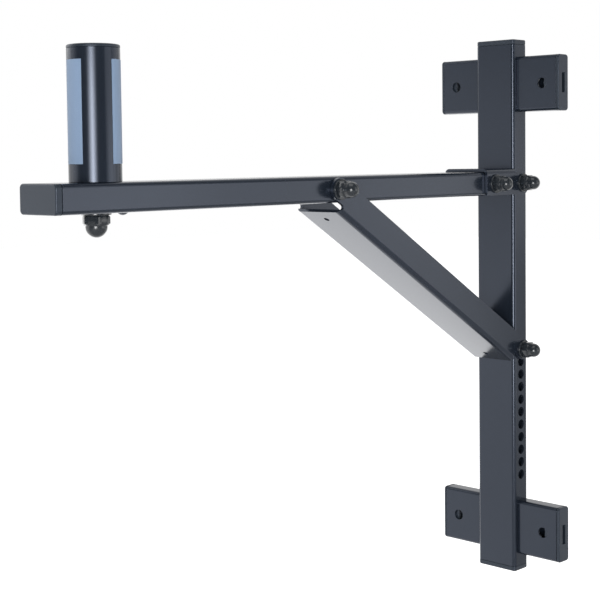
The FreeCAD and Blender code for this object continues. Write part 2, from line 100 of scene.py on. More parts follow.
# Polyester powder coat on steel, sprayed and baked: anthracite, semi-gloss, with the soft
# ripple of orange peel about 1.4 mm across, and hardly any drift in colour from piece to piece.
COAT_DARK, COAT_PALE = "#191e26", "#1f252e"
COOL_GLEAM = "#dde7fc"
ORANGE_PEEL = 1.4 * MM
COLOUR_DRIFT = 70 * MM
powder_coat, tree, place = new_finish("powder_coat_anthracite")
drift = add(tree, "ShaderNodeTexNoise", {"Vector": place, "Scale": 1 / COLOUR_DRIFT, "Detail": 2.0})
peel = add(tree, "ShaderNodeTexNoise", {"Vector": place, "Scale": 1 / ORANGE_PEEL, "Detail": 1.0,
                                        "Roughness": 0.4})
colour = add(tree, "ShaderNodeMix", {"Factor": drift.outputs["Fac"], "A": linear(COAT_DARK),
                                     "B": linear(COAT_PALE)}, data_type="RGBA")
gloss = add(tree, "ShaderNodeMapRange", {"Value": peel.outputs["Fac"], "To Min": 0.165, "To Max": 0.185})
ripple = add(tree, "ShaderNodeBump", {"Height": peel.outputs["Fac"], "Strength": 0.02,
                                      "Distance": 0.03 * MM})
skin = add(tree, "ShaderNodeBsdfPrincipled", {
    "Base Color": colour.outputs["Result"], "Roughness": gloss.outputs["Result"],
    "Normal": ripple.outputs["Normal"], "IOR": 1.52, "Specular Tint": linear(COOL_GLEAM)})
add(tree, "ShaderNodeOutputMaterial", {"Surface": skin.outputs["BSDF"]})

# Points closer than MERGE_WITHIN become one point and faces within FLAT_WITHIN of each other one face.
# An edge sharper than CORNER_OVER gets rounded.
MERGE_WITHIN = 0.001 * MM
FLAT_WITHIN, CORNER_OVER = math.radians(0.5), math.radians(40)


def rounded(edge, finish, slot, *nodes):
    """Copies of CAD pieces, dressed in a finish, whose sharp edges are rounded by edge in millimetres."""
    for node in nodes:
        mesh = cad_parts[node].data.copy()
        build = bmesh.new()
        build.from_mesh(mesh)
        bmesh.ops.remove_doubles(build, verts=build.verts, dist=MERGE_WITHIN)
        bmesh.ops.dissolve_limit(build, angle_limit=FLAT_WITHIN, verts=build.verts, edges=build.edges)
        sharp = [line for line in build.edges if line.calc_face_angle(0) > CORNER_OVER]
        bmesh.ops.bevel(build, geom=sharp, offset=edge * MM, segments=3, profile=0.6, affect="EDGES",
                        clamp_overlap=True)
        build.to_mesh(mesh)
        build.free()
        mesh.shade_smooth()
        mesh.materials.clear()
        mesh.materials.append(finish)
        piece = bpy.data.objects.new(f"{node}_rounded", mesh)
        bpy.context.scene.collection.objects.link(piece)
        shade = piece.modifiers.new("shade", "WEIGHTED_NORMAL")
        shade.weight = 100
        evaluated = piece.evaluated_get(bpy.context.evaluated_depsgraph_get())
        shaded = bpy.data.meshes.new_from_object(evaluated)
        piece.modifiers.remove(shade)
        piece.data = shaded
        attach(piece, "bracket")
        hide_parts(node)


# The coat flows over every sawn or cut edge and dries there in a small round, which catches the light.
TUBE_EDGE, SHEET_EDGE = 0.35, 1.1
rounded(TUBE_EDGE, powder_coat, "powder_coated_steel", "wall_rail")

# Rail caps
# Two plastic plugs pushed into the rail's cut ends, flush with the tube all round.
# Moulded in polyethylene, with a rounded rim that shows as a fine seam against the coat.

# Moulded polyethylene: near black with a grey cast, satin, with a fine spark-eroded grain that
# is 0.3 mm on the real cap and drawn at 0.6 mm so that it shows.
PLASTIC_DARK, PLASTIC_PALE = "#1d232a", "#242b33"
MOULD_GRAIN = 0.6 * MM
plastic, tree, place = new_finish("polyethylene_moulded_black")
grain = add(tree, "ShaderNodeTexNoise", {"Vector": place, "Scale": 1 / MOULD_GRAIN, "Detail": 3.0})
colour = add(tree, "ShaderNodeMix", {"Factor": grain.outputs["Fac"], "A": linear(PLASTIC_DARK),
                                     "B": linear(PLASTIC_PALE)}, data_type="RGBA")
satin = add(tree, "ShaderNodeMapRange", {"Value": grain.outputs["Fac"], "To Min": 0.34, "To Max": 0.46})
pits = add(tree, "ShaderNodeBump", {"Height": grain.outputs["Fac"], "Strength": 0.25,
                                    "Distance": 0.04 * MM})
skin = add(tree, "ShaderNodeBsdfPrincipled", {
    "Base Color": colour.outputs["Result"], "Roughness": satin.outputs["Result"],
    "Normal": pits.outputs["Normal"], "IOR": 1.51, "Specular Tint": linear(COOL_GLEAM)})
add(tree, "ShaderNodeOutputMaterial", {"Surface": skin.outputs["BSDF"]})

# A mould's parting edges are eased, so each cap meets its tube in a fine dark groove.
MOULD_EDGE = 0.8
rounded(MOULD_EDGE, plastic, "black_plastic", "rail_cap_top", "rail_cap_bottom")

# Feet
# Four short lengths of 48 by 15 mm flat steel tube, one beside each end of the rail on each hand.
# Each is drilled for one wall screw, with a wider hole behind, and coated together with the rail.

FEET = [f"foot_{level}_{hand}" for level in ("upper", "lower") for hand in ("left", "right")]
rounded(TUBE_EDGE, powder_coat, "powder_coated_steel", *FEET)

# Welds of the feet
# One bead of weld for each foot, laid in the groove that the rail's round corner leaves behind it.
# Left as laid, in overlapping ripples, and covered by the same powder coat.


def new_tree(name, sizes):
    """A geometry tree with named inputs, given as {name: (kind of socket, usual value)}."""
    tree = bpy.data.node_groups.new(name, "GeometryNodeTree")
    tree.interface.new_socket("Geometry", in_out="INPUT", socket_type="NodeSocketGeometry")
    for word, (kind, value) in sizes.items():
        socket = tree.interface.new_socket(word, in_out="INPUT", socket_type=f"NodeSocket{kind}")
        if value is not None:
            socket.default_value = value
    tree.interface.new_socket("Geometry", in_out="OUTPUT", socket_type="NodeSocketGeometry")
    return tree, add(tree, "NodeGroupInput").outputs


def end_tree(tree, geometry, finish):
    """What every tree ends in: real mesh instead of instances, with its finish."""
    real = add(tree, "GeometryNodeRealizeInstances", {"Geometry": geometry})
    finished = add(tree, "GeometryNodeSetMaterial", {"Geometry": real.outputs["Geometry"],
                                                     "Material": finish})
    add(tree, "NodeGroupOutput", {"Geometry": finished.outputs["Geometry"]})


def new_mesh(name, points, edges=()):
    """An object of bare points, given in millimetres, and of lines between them."""
    mesh = bpy.data.meshes.new(name)
    mesh.from_pydata([[length * MM for length in point] for point in points], edges, [])
    piece = bpy.data.objects.new(name, mesh)
    bpy.context.scene.collection.objects.link(piece)
    return piece


def make(tree, name, points, edges, sizes, crease=35):
    """Run a tree on points in millimetres and keep what comes out as one plain closed mesh."""
    piece = new_mesh(name, points, edges)
    modifier = piece.modifiers.new("make", "NODES")
    modifier.node_group = tree
    for item in tree.interface.items_tree:
        if item.item_type == "SOCKET" and item.in_out == "INPUT" and item.name in sizes:
            modifier[item.identifier] = sizes[item.name]
    evaluated = piece.evaluated_get(bpy.context.evaluated_depsgraph_get())
    mesh = bpy.data.meshes.new_from_object(evaluated)
    piece.modifiers.remove(modifier)
    piece.data = mesh
    build = bmesh.new()
    build.from_mesh(mesh)
    bmesh.ops.remove_doubles(build, verts=build.verts, dist=MERGE_WITHIN)
    bmesh.ops.recalc_face_normals(build, faces=build.faces)
    build.to_mesh(mesh)
    build.free()
    mesh.shade_smooth()
    mesh.set_sharp_from_angle(angle=math.radians(crease))
    return piece


BEAD_RADIUS = 1.25
BEAD_X, BEAD_Y = 19.3, -1.45
BEAD_END_GAP = 1.5
RIPPLE_PITCH = 1.6
STEPS_PER_RIPPLE = 8.0
LEAST_WIDTH = 0.9
WAVERS_PER_METRE = 260.0
weld, given = new_tree("weld_bead", {
    "Bead radius": ("Float", BEAD_RADIUS * MM), "Ripple pitch": ("Float", RIPPLE_PITCH * MM),
    "Ripple height": ("Float", 0.16), "Seed": ("Float", 3.0), "Finish": ("Material", None)})
line = add(weld, "GeometryNodeMeshToCurve", {"Mesh": given["Geometry"]})
step = add(weld, "ShaderNodeMath", {0: given["Ripple pitch"], 1: STEPS_PER_RIPPLE}, operation="DIVIDE")
even = add(weld, "GeometryNodeResampleCurve", {"Curve": line.outputs["Curve"], "Length": step.outputs[0]},
           mode="LENGTH")
along = add(weld, "GeometryNodeSplineParameter").outputs["Length"]
turns = add(weld, "ShaderNodeMath", {0: along, 1: given["Ripple pitch"]}, operation="DIVIDE")
wave = add(weld, "ShaderNodeMath", {0: turns.outputs[0], 1: 1.0, 2: 0.0}, operation="PINGPONG")
spot = add(weld, "GeometryNodeInputPosition").outputs[0]
waver = add(weld, "ShaderNodeTexNoise", {"W": given["Seed"], "Vector": spot, "Scale": WAVERS_PER_METRE},
            noise_dimensions="4D")
uneven = add(weld, "ShaderNodeMath", {0: wave.outputs[0], 1: waver.outputs["Fac"]}, operation="MULTIPLY")
width = add(weld, "ShaderNodeMath", {0: uneven.outputs[0], 1: given["Ripple height"], 2: LEAST_WIDTH},
            operation="MULTIPLY_ADD")
fat = add(weld, "GeometryNodeSetCurveRadius", {"Curve": even.outputs["Curve"], "Radius": width.outputs[0]})
round_section = add(weld, "GeometryNodeCurvePrimitiveCircle", {"Resolution": 14,
                                                               "Radius": given["Bead radius"]})
bead = add(weld, "GeometryNodeCurveToMesh", {
    "Curve": fat.outputs["Curve"], "Profile Curve": round_section.outputs["Curve"], "Fill Caps": True})
end_tree(weld, bead.outputs["Mesh"], given["Finish"])

bead_points, bead_edges = [], []
for foot in FEET:
    low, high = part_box(foot)
    bead_x = BEAD_X if low.x > 0 else -BEAD_X
    bead_edges.append((len(bead_points), len(bead_points) + 1))
    bead_points.append((bead_x, BEAD_Y, low.z / MM + BEAD_END_GAP))
    bead_points.append((bead_x, BEAD_Y, high.z / MM - BEAD_END_GAP))
welds = make(weld, "weld_beads", bead_points, bead_edges, {"Finish": powder_coat}, crease=80)
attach(welds, "bracket")

# Foot caps
# Four flat plastic plugs in the feet's outer ends, each with a slot moulded through its face.
# The same polyethylene as the rail's caps.

rounded(MOULD_EDGE, plastic, "black_plastic", *[foot.replace("foot", "foot_cap") for foot in FEET])

# Arm bracket
# One blank of 2.5 mm sheet steel, folded into an upside-down channel for the arm and the rail.
# Laser cut, bent and powder coated, so its edges carry a thin round of coat that catches the light.

rounded(SHEET_EDGE, powder_coat, "powder_coated_steel", "arm_bracket")

# Arm
# A 40 by 20 mm steel tube lying flat, which reaches half a metre out from the wall.
# Sawn, drilled for its two cross bolts, the pole's bolt and a small plug, then powder coated.

rounded(TUBE_EDGE, powder_coat, "powder_coated_steel", "arm_tube")

# Arm end cap
# A plastic plug with a thicker head than the rail's, pushed into the arm's free end.
# Polyethylene again.

rounded(MOULD_EDGE, plastic, "black_plastic", "arm_end_cap")

# Brace
# A channel folded from the same 2.5 mm sheet, with its web underneath and a round ear at each corner.
# It props the arm from below: one bolt through the arm, and the lock bolt through the rail.

rounded(SHEET_EDGE, powder_coat, "powder_coated_steel", "brace")

# Cross bolts
# Hex head M8 bolts 60 mm long, from left to right through bracket or brace and the tube between them.
# Rolled thread, zinc plated and black passivated; the lowest one is the lock bolt that sets the tilt.

# Black zinc plating: a thin metal skin, near black and glossy, with faint cloudy streaks that the
# passivation bath leaves, about 3 mm across.
PLATE_DARK, PLATE_PALE = "#1e2125", "#2a2f34"
BATH_CLOUD = 3 * MM
black_zinc, tree, place = new_finish("zinc_plated_black")
cloud = add(tree, "ShaderNodeTexNoise", {"Vector": place, "Scale": 1 / BATH_CLOUD, "Detail": 3.0})
colour = add(tree, "ShaderNodeMix", {"Factor": cloud.outputs["Fac"], "A": linear(PLATE_DARK),
                                     "B": linear(PLATE_PALE)}, data_type="RGBA")
gloss = add(tree, "ShaderNodeMapRange", {"Value": cloud.outputs["Fac"], "To Min": 0.1, "To Max": 0.2})
skin = add(tree, "ShaderNodeBsdfPrincipled", {"Base Color": colour.outputs["Result"],
                                              "Roughness": gloss.outputs["Result"]})
add(tree, "ShaderNodeOutputMaterial", {"Surface": skin.outputs["BSDF"]})

# The lathe winds a grid round the upright axis: a column for each step round, and a row for each
# point of the profile, whose X is the radius and whose Z is the height.
NO_FLATS = 1000.0
lathe, given = new_tree("turned_piece", {
    "Profile": ("Object", None), "Steps round": ("Int", 96), "Across flats": ("Float", NO_FLATS * MM),
    "Corner softness": ("Float", 0.3 * MM), "Thread pitch": ("Float", 1.25 * MM),
    "Thread depth": ("Float", 0.0), "Thread start": ("Float", 0.0), "Direction": ("Rotation", None),
    "Finish": ("Material", None)})
drawn = add(lathe, "GeometryNodeObjectInfo", {"Object": given["Profile"]}).outputs["Geometry"]
counted = add(lathe, "GeometryNodeAttributeDomainSize", {"Geometry": drawn}, component="MESH")
rows = counted.outputs["Point Count"]
columns = add(lathe, "ShaderNodeMath", {0: given["Steps round"], 1: 1.0}, operation="ADD")
grid = add(lathe, "GeometryNodeMeshGrid", {"Size X": 1.0, "Size Y": 1.0,
                                           "Vertices X": columns.outputs[0], "Vertices Y": rows})
spot = add(lathe, "GeometryNodeInputPosition").outputs[0]
on_grid = add(lathe, "ShaderNodeSeparateXYZ", {0: spot})
round_share = add(lathe, "ShaderNodeMath", {0: on_grid.outputs["X"], 1: 0.5}, operation="ADD")
row_share = add(lathe, "ShaderNodeMath", {0: on_grid.outputs["Y"], 1: 0.5}, operation="ADD")
last_row = add(lathe, "ShaderNodeMath", {0: rows, 1: 1.0}, operation="SUBTRACT")
row = add(lathe, "ShaderNodeMath", {0: row_share.outputs[0], 1: last_row.outputs[0]}, operation="MULTIPLY")
whole_row = add(lathe, "FunctionNodeFloatToInt", {0: row.outputs[0]}, rounding_mode="ROUND")
sample = add(lathe, "GeometryNodeSampleIndex", {"Geometry": drawn, "Value": spot,
                                                "Index": whole_row.outputs[0]},
             data_type="FLOAT_VECTOR", domain="POINT")
on_profile = add(lathe, "ShaderNodeSeparateXYZ", {0: sample.outputs["Value"]})
radius, height = on_profile.outputs["X"], on_profile.outputs["Z"]
angle = add(lathe, "ShaderNodeMath", {0: round_share.outputs[0], 1: math.tau}, operation="MULTIPLY")
# A flat holds the radius down to half the width across flats over the cosine from the flat's middle.
shifted = add(lathe, "ShaderNodeMath", {0: angle.outputs[0], 1: math.radians(30)}, operation="ADD")
folded = add(lathe, "ShaderNodeMath", {0: shifted.outputs[0], 1: math.radians(60)}, operation="MODULO")
from_middle = add(lathe, "ShaderNodeMath", {0: folded.outputs[0], 1: math.radians(30)}, operation="SUBTRACT")
cosine = add(lathe, "ShaderNodeMath", {0: from_middle.outputs[0]}, operation="COSINE")
half_across = add(lathe, "ShaderNodeMath", {0: given["Across flats"], 1: 2.0}, operation="DIVIDE")
flat_limit = add(lathe, "ShaderNodeMath", {0: half_across.outputs[0], 1: cosine.outputs[0]},
                 operation="DIVIDE")
held = add(lathe, "ShaderNodeMath", {0: radius, 1: flat_limit.outputs[0], 2: given["Corner softness"]},
           operation="SMOOTH_MIN")
# The thread winds once round for each pitch that it climbs, and is cut only past its start. A tooth
# runs from 0 to 0.5, so the groove is half as deep as Thread depth says.
climbed = add(lathe, "ShaderNodeMath", {0: height, 1: given["Thread pitch"]}, operation="DIVIDE")
phase = add(lathe, "ShaderNodeMath", {0: climbed.outputs[0], 1: round_share.outputs[0]},
            operation="SUBTRACT")
tooth = add(lathe, "ShaderNodeMath", {0: phase.outputs[0], 1: 0.5}, operation="PINGPONG")
past_start = add(lathe, "ShaderNodeMath", {0: height, 1: given["Thread start"]}, operation="GREATER_THAN")
depth = add(lathe, "ShaderNodeMath", {0: given["Thread depth"], 1: past_start.outputs[0]},
            operation="MULTIPLY")
cut = add(lathe, "ShaderNodeMath", {0: tooth.outputs[0], 1: depth.outputs[0]}, operation="MULTIPLY")
left = add(lathe, "ShaderNodeMath", {0: held.outputs[0], 1: cut.outputs[0]}, operation="SUBTRACT")
reach = add(lathe, "ShaderNodeMath", {0: left.outputs[0], 1: 0.0}, operation="MAXIMUM")
across = add(lathe, "ShaderNodeMath", {0: angle.outputs[0]}, operation="COSINE")
ahead = add(lathe, "ShaderNodeMath", {0: angle.outputs[0]}, operation="SINE")
x = add(lathe, "ShaderNodeMath", {0: reach.outputs[0], 1: across.outputs[0]}, operation="MULTIPLY")
y = add(lathe, "ShaderNodeMath", {0: reach.outputs[0], 1: ahead.outputs[0]}, operation="MULTIPLY")
turned_spot = add(lathe, "ShaderNodeCombineXYZ", {"X": x.outputs[0], "Y": y.outputs[0], "Z": height})
turned = add(lathe, "GeometryNodeSetPosition", {"Geometry": grid.outputs["Mesh"],
                                                "Position": turned_spot.outputs[0]})
copies = add(lathe, "GeometryNodeInstanceOnPoints", {
    "Points": given["Geometry"], "Instance": turned.outputs["Geometry"], "Rotation": given["Direction"]})
end_tree(lathe, copies.outputs["Instances"], given["Finish"])

RIGHT, LEFT = (0, math.radians(90), 0), (0, math.radians(-90), 0)
UP, DOWN = (0, 0, 0), (math.radians(180), 0, 0)


def turn(name, profile, places, replaced, body, slot, finish, direction=UP, **sizes):
    """A piece turned from a profile of (radius, height) pairs in millimetres, once at each place."""
    drawing = new_mesh(f"{name}_profile", [(radius, 0, height) for radius, height in profile])
    inputs = {"Profile": drawing, "Direction": direction, "Finish": finish}
    for word, value in sizes.items():
        inputs[word.replace("_", " ").capitalize()] = value
    piece = make(lathe, name, places, (), inputs)
    bpy.data.objects.remove(drawing)
    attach(piece, body)
    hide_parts(*replaced)


def arc(centre_radius, centre_height, radius, first, last, steps):
    """Points of a profile on an arc, by angles in degrees from straight out."""
    angles = [math.radians(first + (last - first) * step / steps) for step in range(steps + 1)]
    return [(centre_radius + radius * math.cos(angle), centre_height + radius * math.sin(angle))
            for angle in angles]


# A hexagon is drawn a little past its corners and then cut back to its flats by the lathe.
# Its corners are bevelled at 30 degrees, from a circle a little smaller than the flats.
PAST_CORNER = 0.2
BEVEL_SLOPE = math.tan(math.radians(30))
HEAD_FLAT, HEAD_CIRCLE, HEAD_STEP = 0.44, 0.47, 0.05
UNDER_HEAD, NECK_FILLET = 0.2, 0.4
THREAD_RUN_IN, THREAD_TIP = 0.3, 0.8
ROWS_PER_PITCH = 6


def bolt_profile(diameter, length, across, head, thread_from, pitch):
    """Head below zero and shank above it, with enough rows for the thread to be cut in."""
    corner = across / math.sqrt(3) + PAST_CORNER
    bevel = (corner - HEAD_CIRCLE * across) * BEVEL_SLOPE
    shank = diameter / 2
    rows = [(0, -head), (HEAD_FLAT * across, -head), (HEAD_CIRCLE * across, -head + HEAD_STEP),
            (corner, -head + HEAD_STEP + bevel), (corner, -UNDER_HEAD), (corner - UNDER_HEAD, 0),
            (shank + NECK_FILLET, 0), (shank, NECK_FILLET), (shank, thread_from - THREAD_RUN_IN)]
    count = int((length - THREAD_TIP - thread_from) / (pitch / ROWS_PER_PITCH))
    rows += [(shank, thread_from + step * pitch / ROWS_PER_PITCH) for step in range(count)]
    return rows + [(shank, length - THREAD_TIP), (shank - THREAD_TIP, length), (0, length)]


def places_of(nodes, end):
    """The middle of the low or high X end of each node, in millimetres."""
    found = []
    for node in nodes:
        low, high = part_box(node)
        end_x = low.x if end == "low" else high.x
        found.append((end_x / MM, (low.y + high.y) / 2 / MM, (low.z + high.z) / 2 / MM))
    return found


FIXED_BOLTS = ("rail_bolt", "arm_bolt", "brace_bolt")
M8_ACROSS, M8_HEAD = 13, 5.3
M8_PITCH, M8_THREAD_FROM = 1.25, 38
M8_PROFILE = bolt_profile(diameter=8, length=60, across=M8_ACROSS, head=M8_HEAD,
                          thread_from=M8_THREAD_FROM, pitch=M8_PITCH)
M8_SIZES = {"across_flats": M8_ACROSS * MM, "thread_pitch": M8_PITCH * MM, "thread_depth": 1.3 * MM,
            "thread_start": M8_THREAD_FROM * MM}
for name, bolts, body in (("hex_bolts", FIXED_BOLTS, "bracket"),
                          ("lock_hex_bolt", ["lock_bolt"], "lock_bolt")):
    places = [(x + M8_HEAD, y, z) for x, y, z in places_of(bolts, "low")]
    turn(name, M8_PROFILE, places, bolts, body, "black_fastener", black_zinc, RIGHT, **M8_SIZES)

# Washers
# Plain washers punched from 1.6 mm strip, one under each bolt head and one under each dome nut.
# Plated like the bolts, with the rolled-over edge that punching leaves on one side.

BORE_BREAK, CUT_EDGE, ROLLED_EDGE = 0.15, 0.1, 0.45


def washer_profile(bore, diameter, thickness):
    """A flat ring whose outer edge is cut below and rolled over above."""
    inner, outer = bore / 2, diameter / 2
    return [(inner, BORE_BREAK), (inner + BORE_BREAK, 0), (outer - CUT_EDGE, 0), (outer, CUT_EDGE),
            *arc(outer - ROLLED_EDGE, thickness - ROLLED_EDGE, ROLLED_EDGE, 0, 90, 4),
            (inner + BORE_BREAK, thickness), (inner, thickness - BORE_BREAK), (inner, BORE_BREAK)]


M8_WASHER = washer_profile(bore=8.4, diameter=16, thickness=1.6)
for name, bolts, side, body in (("washers_left", FIXED_BOLTS, "left", "bracket"),
                                ("washers_right", FIXED_BOLTS, "right", "bracket"),
                                ("lock_washer_left", ["lock_bolt"], "left", "lock_bolt"),
                                ("lock_washer_right", ["lock_bolt"], "right", "lock_nut")):
    washers = [f"{bolt}_washer_{side}" for bolt in bolts]
    end, direction = ("high", LEFT) if side == "left" else ("low", RIGHT)
    turn(name, M8_WASHER, places_of(washers, end), washers, body, "black_fastener", black_zinc, direction)

# Dome nuts
# Closed M8 nuts that cover the ends of the cross bolts, with a round dome above a chamfered hexagon.
# Turned in one piece and plated black; the lowest one is taken off to set the tilt.

BORE_CONE, LEAD_IN = 1, 0.7
SEAT_CIRCLE, SHOULDER_CIRCLE = 0.48, 0.475
DOME_FILLET = 0.35


def nut_profile(bore, bore_depth, across, hexagon, dome, length):
    """A blind bore from below, a hexagon bevelled at both ends, and a dome."""
    corner = across / math.sqrt(3) + PAST_CORNER
    seat, shoulder = SEAT_CIRCLE * across, SHOULDER_CIRCLE * across
    return [(0, bore_depth), (bore / 2, bore_depth - BORE_CONE), (bore / 2, LEAD_IN),
            (bore / 2 + LEAD_IN, 0), (seat, 0), (corner, (corner - seat) * BEVEL_SLOPE),
            (corner, hexagon - (corner - shoulder) * BEVEL_SLOPE), (shoulder, hexagon),
            *arc(dome / 2 + DOME_FILLET, hexagon + DOME_FILLET, DOME_FILLET, 270, 180, 3),
            *arc(0, length - dome / 2, dome / 2, 0, 90, 14)]


M8_NUT = nut_profile(bore=8.2, bore_depth=12.5, across=M8_ACROSS, hexagon=6.5, dome=12, length=15)
for name, bolts, body in (("dome_nuts", FIXED_BOLTS, "bracket"),
                          ("lock_dome_nut", ["lock_bolt"], "lock_nut")):
    nuts = [f"{bolt}_nut" for bolt in bolts]
    turn(name, M8_NUT, places_of(nuts, "low"), nuts, body, "black_fastener", black_zinc, RIGHT,
         across_flats=M8_ACROSS * MM)

# Pole
# An upright 35 mm steel tube near the arm's free end, which goes into the socket under a loudspeaker.
# Turned square at both ends and powder coated; a steel plug welded in its foot takes the pole bolt.

pole_low, pole_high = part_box("pole_tube")
POLE_X, POLE_Y = (pole_low.x + pole_high.x) / 2 / MM, (pole_low.y + pole_high.y) / 2 / MM
POLE_FOOT, POLE_END = pole_low.z / MM, pole_high.z / MM
POLE_RADIUS, POLE_WALL, POLE_CHAMFER = 17.5, 2.0, 0.3
POLE_STEPS = 160
bore_radius = POLE_RADIUS - POLE_WALL
tube_length = POLE_END - POLE_FOOT
turn("pole", [(bore_radius, 0), (POLE_RADIUS - POLE_CHAMFER, 0), (POLE_RADIUS, POLE_CHAMFER),
              (POLE_RADIUS, tube_length - POLE_CHAMFER), (POLE_RADIUS - POLE_CHAMFER, tube_length),
              (bore_radius, tube_length), (bore_radius, 0)],
     [(POLE_X, POLE_Y, POLE_FOOT)], ["pole_tube"], "bracket", "powder_coated_steel", powder_coat,
     steps_round=POLE_STEPS)

# Bright steel of the plug: a lathe's fine rings, 0.3 mm apart, in plain grey metal left uncoated.
# A wave texture of scale 1 has its rings WAVE_PERIOD apart.
STEEL_DARK, STEEL_PALE = "#8d8f92", "#9b9da0"
TURNING_PITCH = 0.3 * MM
WAVE_PERIOD = 0.314
turned_steel, tree, place = new_finish("mild_steel_turned")
about_pole = add(tree, "ShaderNodeMapping", {"Vector": place, "Location": (-POLE_X * MM, -POLE_Y * MM, 0.0)})
rings = add(tree, "ShaderNodeTexWave", {"Vector": about_pole.outputs[0], "Distortion": 0.4,
                                        "Scale": WAVE_PERIOD / TURNING_PITCH},
            wave_type="RINGS", rings_direction="Z")
gloss = add(tree, "ShaderNodeMapRange", {"Value": rings.outputs["Fac"], "To Min": 0.3, "To Max": 0.42})
tone = add(tree, "ShaderNodeMix", {"Factor": rings.outputs["Fac"], "A": linear(STEEL_DARK),
                                   "B": linear(STEEL_PALE)}, data_type="RGBA")
skin = add(tree, "ShaderNodeBsdfPrincipled", {
    "Base Color": tone.outputs["Result"], "Roughness": gloss.outputs["Result"], "Metallic": 1.0})
add(tree, "ShaderNodeOutputMaterial", {"Surface": skin.outputs["BSDF"]})

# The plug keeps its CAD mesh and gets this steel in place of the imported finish.
plug_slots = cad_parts["pole_plug"].data.materials
plug_slots.clear()
plug_slots.append(turned_steel)

# Slide tapes
# Three strips of self-adhesive blue felt tape, stuck upright round the pole a third of a turn apart.
# They take up the play in the loudspeaker's socket and let it slide down without a scratch.

# Polyester felt: matt grey-blue, with loose fibres about 0.5 mm apart that soften the light at its edge.
FELT_DARK, FELT_PALE = "#6d829d", "#7f94af"
FIBRE = 0.5 * MM
felt, tree, place = new_finish("polyester_felt_blue")
fibres = add(tree, "ShaderNodeTexNoise", {"Vector": place, "Scale": 1 / FIBRE, "Detail": 4.0,
                                          "Roughness": 0.7})
colour = add(tree, "ShaderNodeMix", {"Factor": fibres.outputs["Fac"], "A": linear(FELT_DARK),
                                     "B": linear(FELT_PALE)}, data_type="RGBA")
nap = add(tree, "ShaderNodeBump", {"Height": fibres.outputs["Fac"], "Strength": 0.35, "Distance": 0.08 * MM})
skin = add(tree, "ShaderNodeBsdfPrincipled", {
    "Base Color": colour.outputs["Result"], "Roughness": 0.85, "Normal": nap.outputs["Normal"],
    "Sheen Weight": 0.2, "Sheen Roughness": 0.5})
add(tree, "ShaderNodeOutputMaterial", {"Surface": skin.outputs["BSDF"]})

TAPE_THICKNESS, TAPE_ANGLE, TAPE_COUNT, FIRST_TAPE = 0.2, 52, 3, -90
tape_low, tape_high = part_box("pole_pad_front")
tape, given = new_tree("tapes_round_pole", {
    "Pole radius": ("Float", POLE_RADIUS * MM), "Thickness": ("Float", TAPE_THICKNESS * MM),
    "Width angle": ("Float", math.radians(TAPE_ANGLE)), "Height": ("Float", tape_high.z - tape_low.z),
    "Tapes": ("Int", TAPE_COUNT), "First angle": ("Float", math.radians(FIRST_TAPE)),
    "Finish": ("Material", None)})
slab = add(tape, "GeometryNodeMeshCube", {"Vertices X": 27, "Vertices Y": 2, "Vertices Z": 3})
on_slab = add(tape, "ShaderNodeSeparateXYZ", {0: add(tape, "GeometryNodeInputPosition").outputs[0]})
angle = add(tape, "ShaderNodeMath", {0: on_slab.outputs["X"], 1: given["Width angle"]}, operation="MULTIPLY")
outward = add(tape, "ShaderNodeMath", {0: on_slab.outputs["Y"], 1: 0.5}, operation="ADD")
reach = add(tape, "ShaderNodeMath", {0: outward.outputs[0], 1: given["Thickness"], 2: given["Pole radius"]},
            operation="MULTIPLY_ADD")
across = add(tape, "ShaderNodeMath", {0: angle.outputs[0]}, operation="COSINE")
ahead = add(tape, "ShaderNodeMath", {0: angle.outputs[0]}, operation="SINE")
x = add(tape, "ShaderNodeMath", {0: reach.outputs[0], 1: across.outputs[0]}, operation="MULTIPLY")
y = add(tape, "ShaderNodeMath", {0: reach.outputs[0], 1: ahead.outputs[0]}, operation="MULTIPLY")
upward = add(tape, "ShaderNodeMath", {0: on_slab.outputs["Z"], 1: 0.5}, operation="ADD")
z = add(tape, "ShaderNodeMath", {0: upward.outputs[0], 1: given["Height"]}, operation="MULTIPLY")
bent_spot = add(tape, "ShaderNodeCombineXYZ", {0: x.outputs[0], 1: y.outputs[0], 2: z.outputs[0]})
bent = add(tape, "GeometryNodeSetPosition", {"Geometry": slab.outputs["Mesh"],
                                             "Position": bent_spot.outputs[0]})
foot_point = add(tape, "GeometryNodeMeshToPoints", {"Mesh": given["Geometry"]})
each = add(tape, "GeometryNodeDuplicateElements", {"Geometry": foot_point.outputs["Points"],
                                                   "Amount": given["Tapes"]}, domain="POINT")
spacing = add(tape, "ShaderNodeMath", {0: math.tau, 1: given["Tapes"]}, operation="DIVIDE")
turned_by = add(tape, "ShaderNodeMath", {0: each.outputs["Duplicate Index"], 1: spacing.outputs[0],
                                         2: given["First angle"]}, operation="MULTIPLY_ADD")
about_z = add(tape, "ShaderNodeCombineXYZ", {"Z": turned_by.outputs[0]})
stuck = add(tape, "GeometryNodeInstanceOnPoints", {
    "Points": each.outputs["Geometry"], "Instance": bent.outputs["Geometry"],
    "Rotation": about_z.outputs[0]})
end_tree(tape, stuck.outputs["Instances"], given["Finish"])

tapes = make(tape, "slide_tapes", [(POLE_X, POLE_Y, tape_low.z / MM)], (), {"Finish": felt})
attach(tapes, "bracket")
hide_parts("pole_pad_front", "pole_pad_right", "pole_pad_left")

# Pole cap
# A round plastic plug in the pole's top, whose rim lies flush on the tube.
# Moulded polyethylene with a rounded shoulder.

